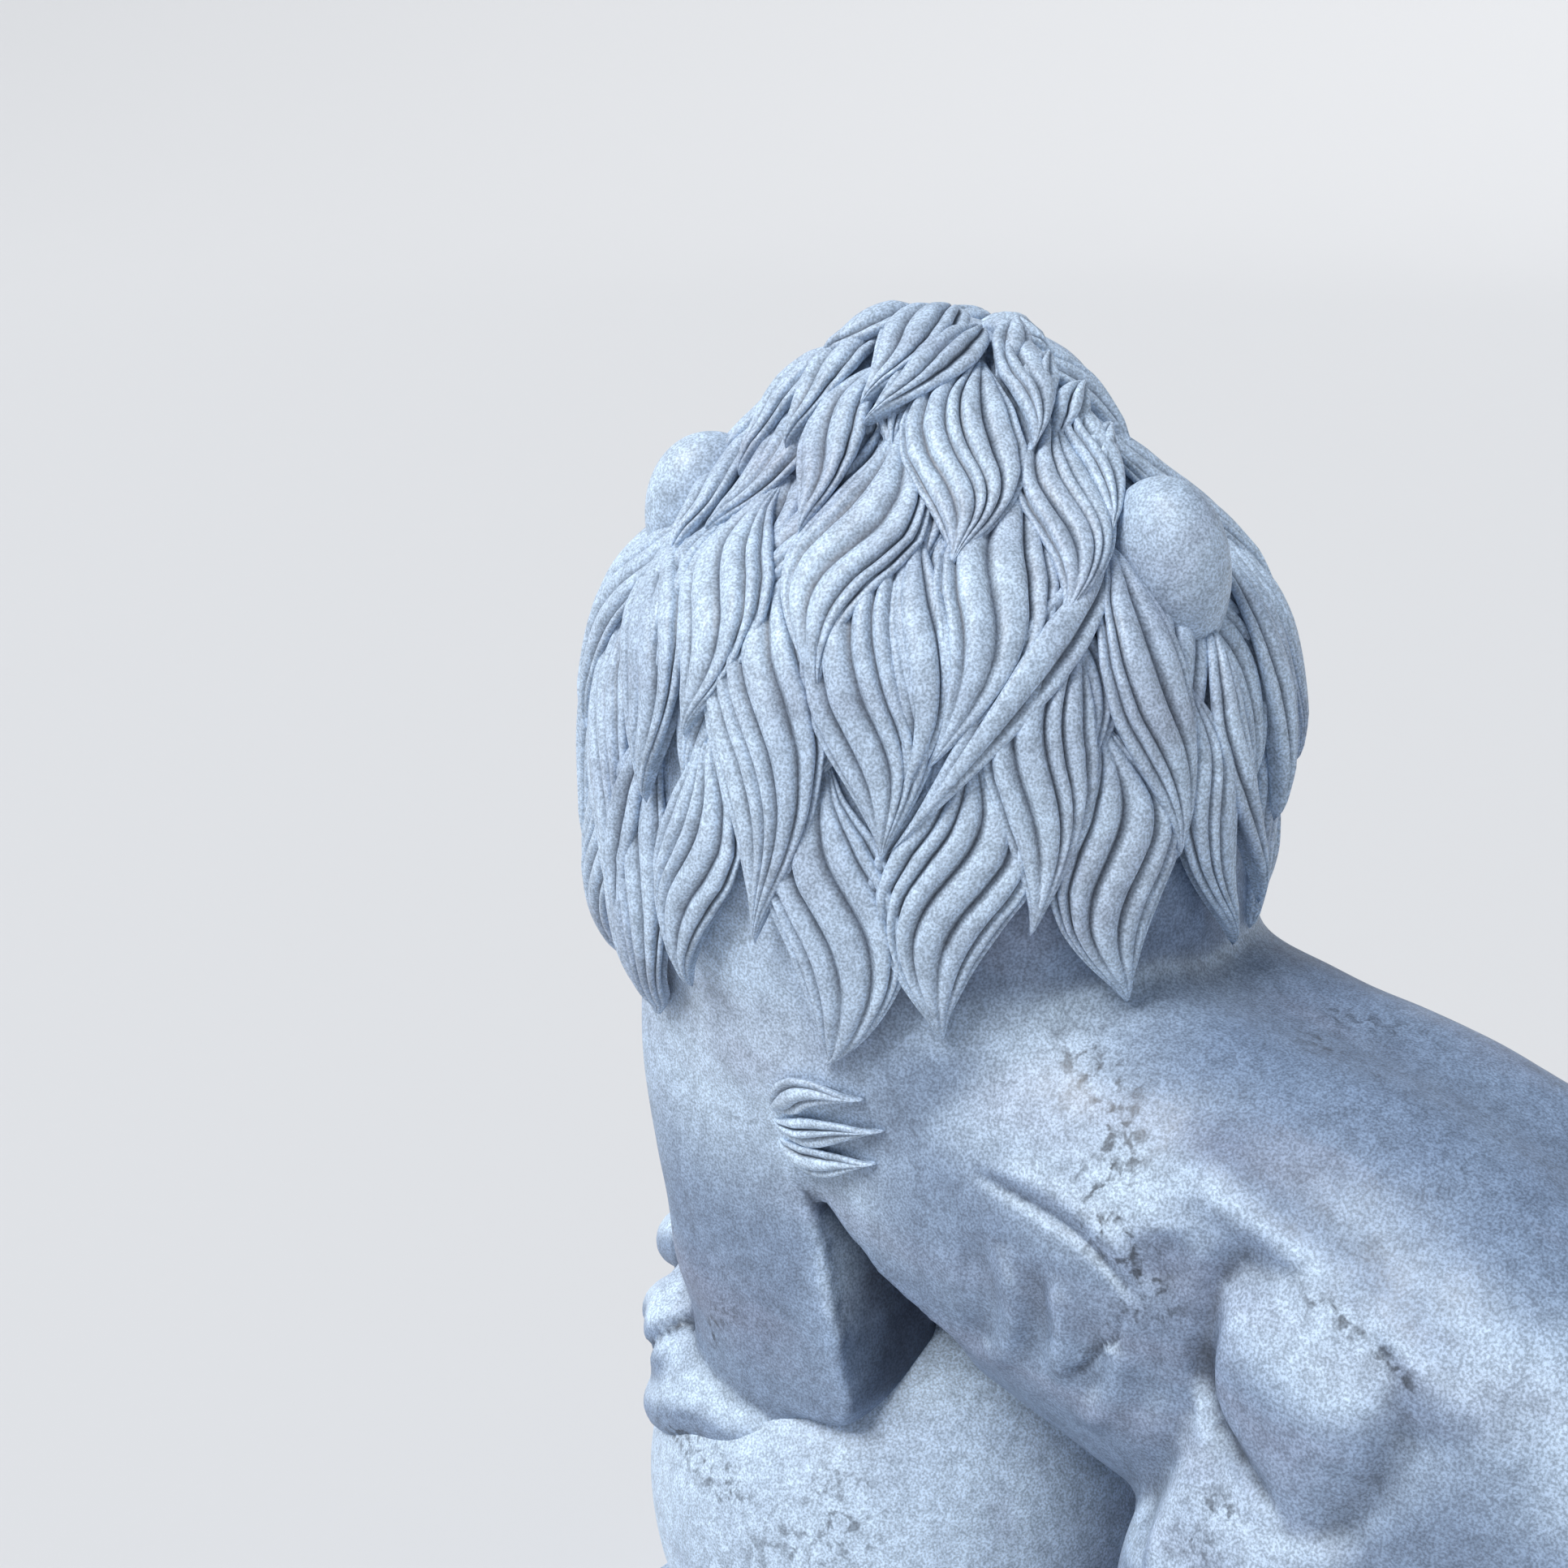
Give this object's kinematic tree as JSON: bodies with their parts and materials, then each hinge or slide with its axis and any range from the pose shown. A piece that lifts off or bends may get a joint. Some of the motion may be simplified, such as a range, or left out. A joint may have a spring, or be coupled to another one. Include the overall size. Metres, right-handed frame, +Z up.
{
  "type": "lion statue",
  "caption": "Crouched stone lion with its forepaws on a ball, its head turned over its right shoulder, on a low rectangular slab, carved from one block of pale marble",
  "frame": {"origin": "centre of the slab's underside", "axes": "+Z up; the lion's body faces -Y and its left side is +X; its head is turned towards -X"},
  "size_m": [0.567, 1, 1.1198],
  "materials": {
    "marble": "pale blue-grey crystalline marble, honed, with grey veins and dark specks"
  },
  "bodies": {
    "root": {"lion_statue": "marble"}
  },
  "joints": []
}
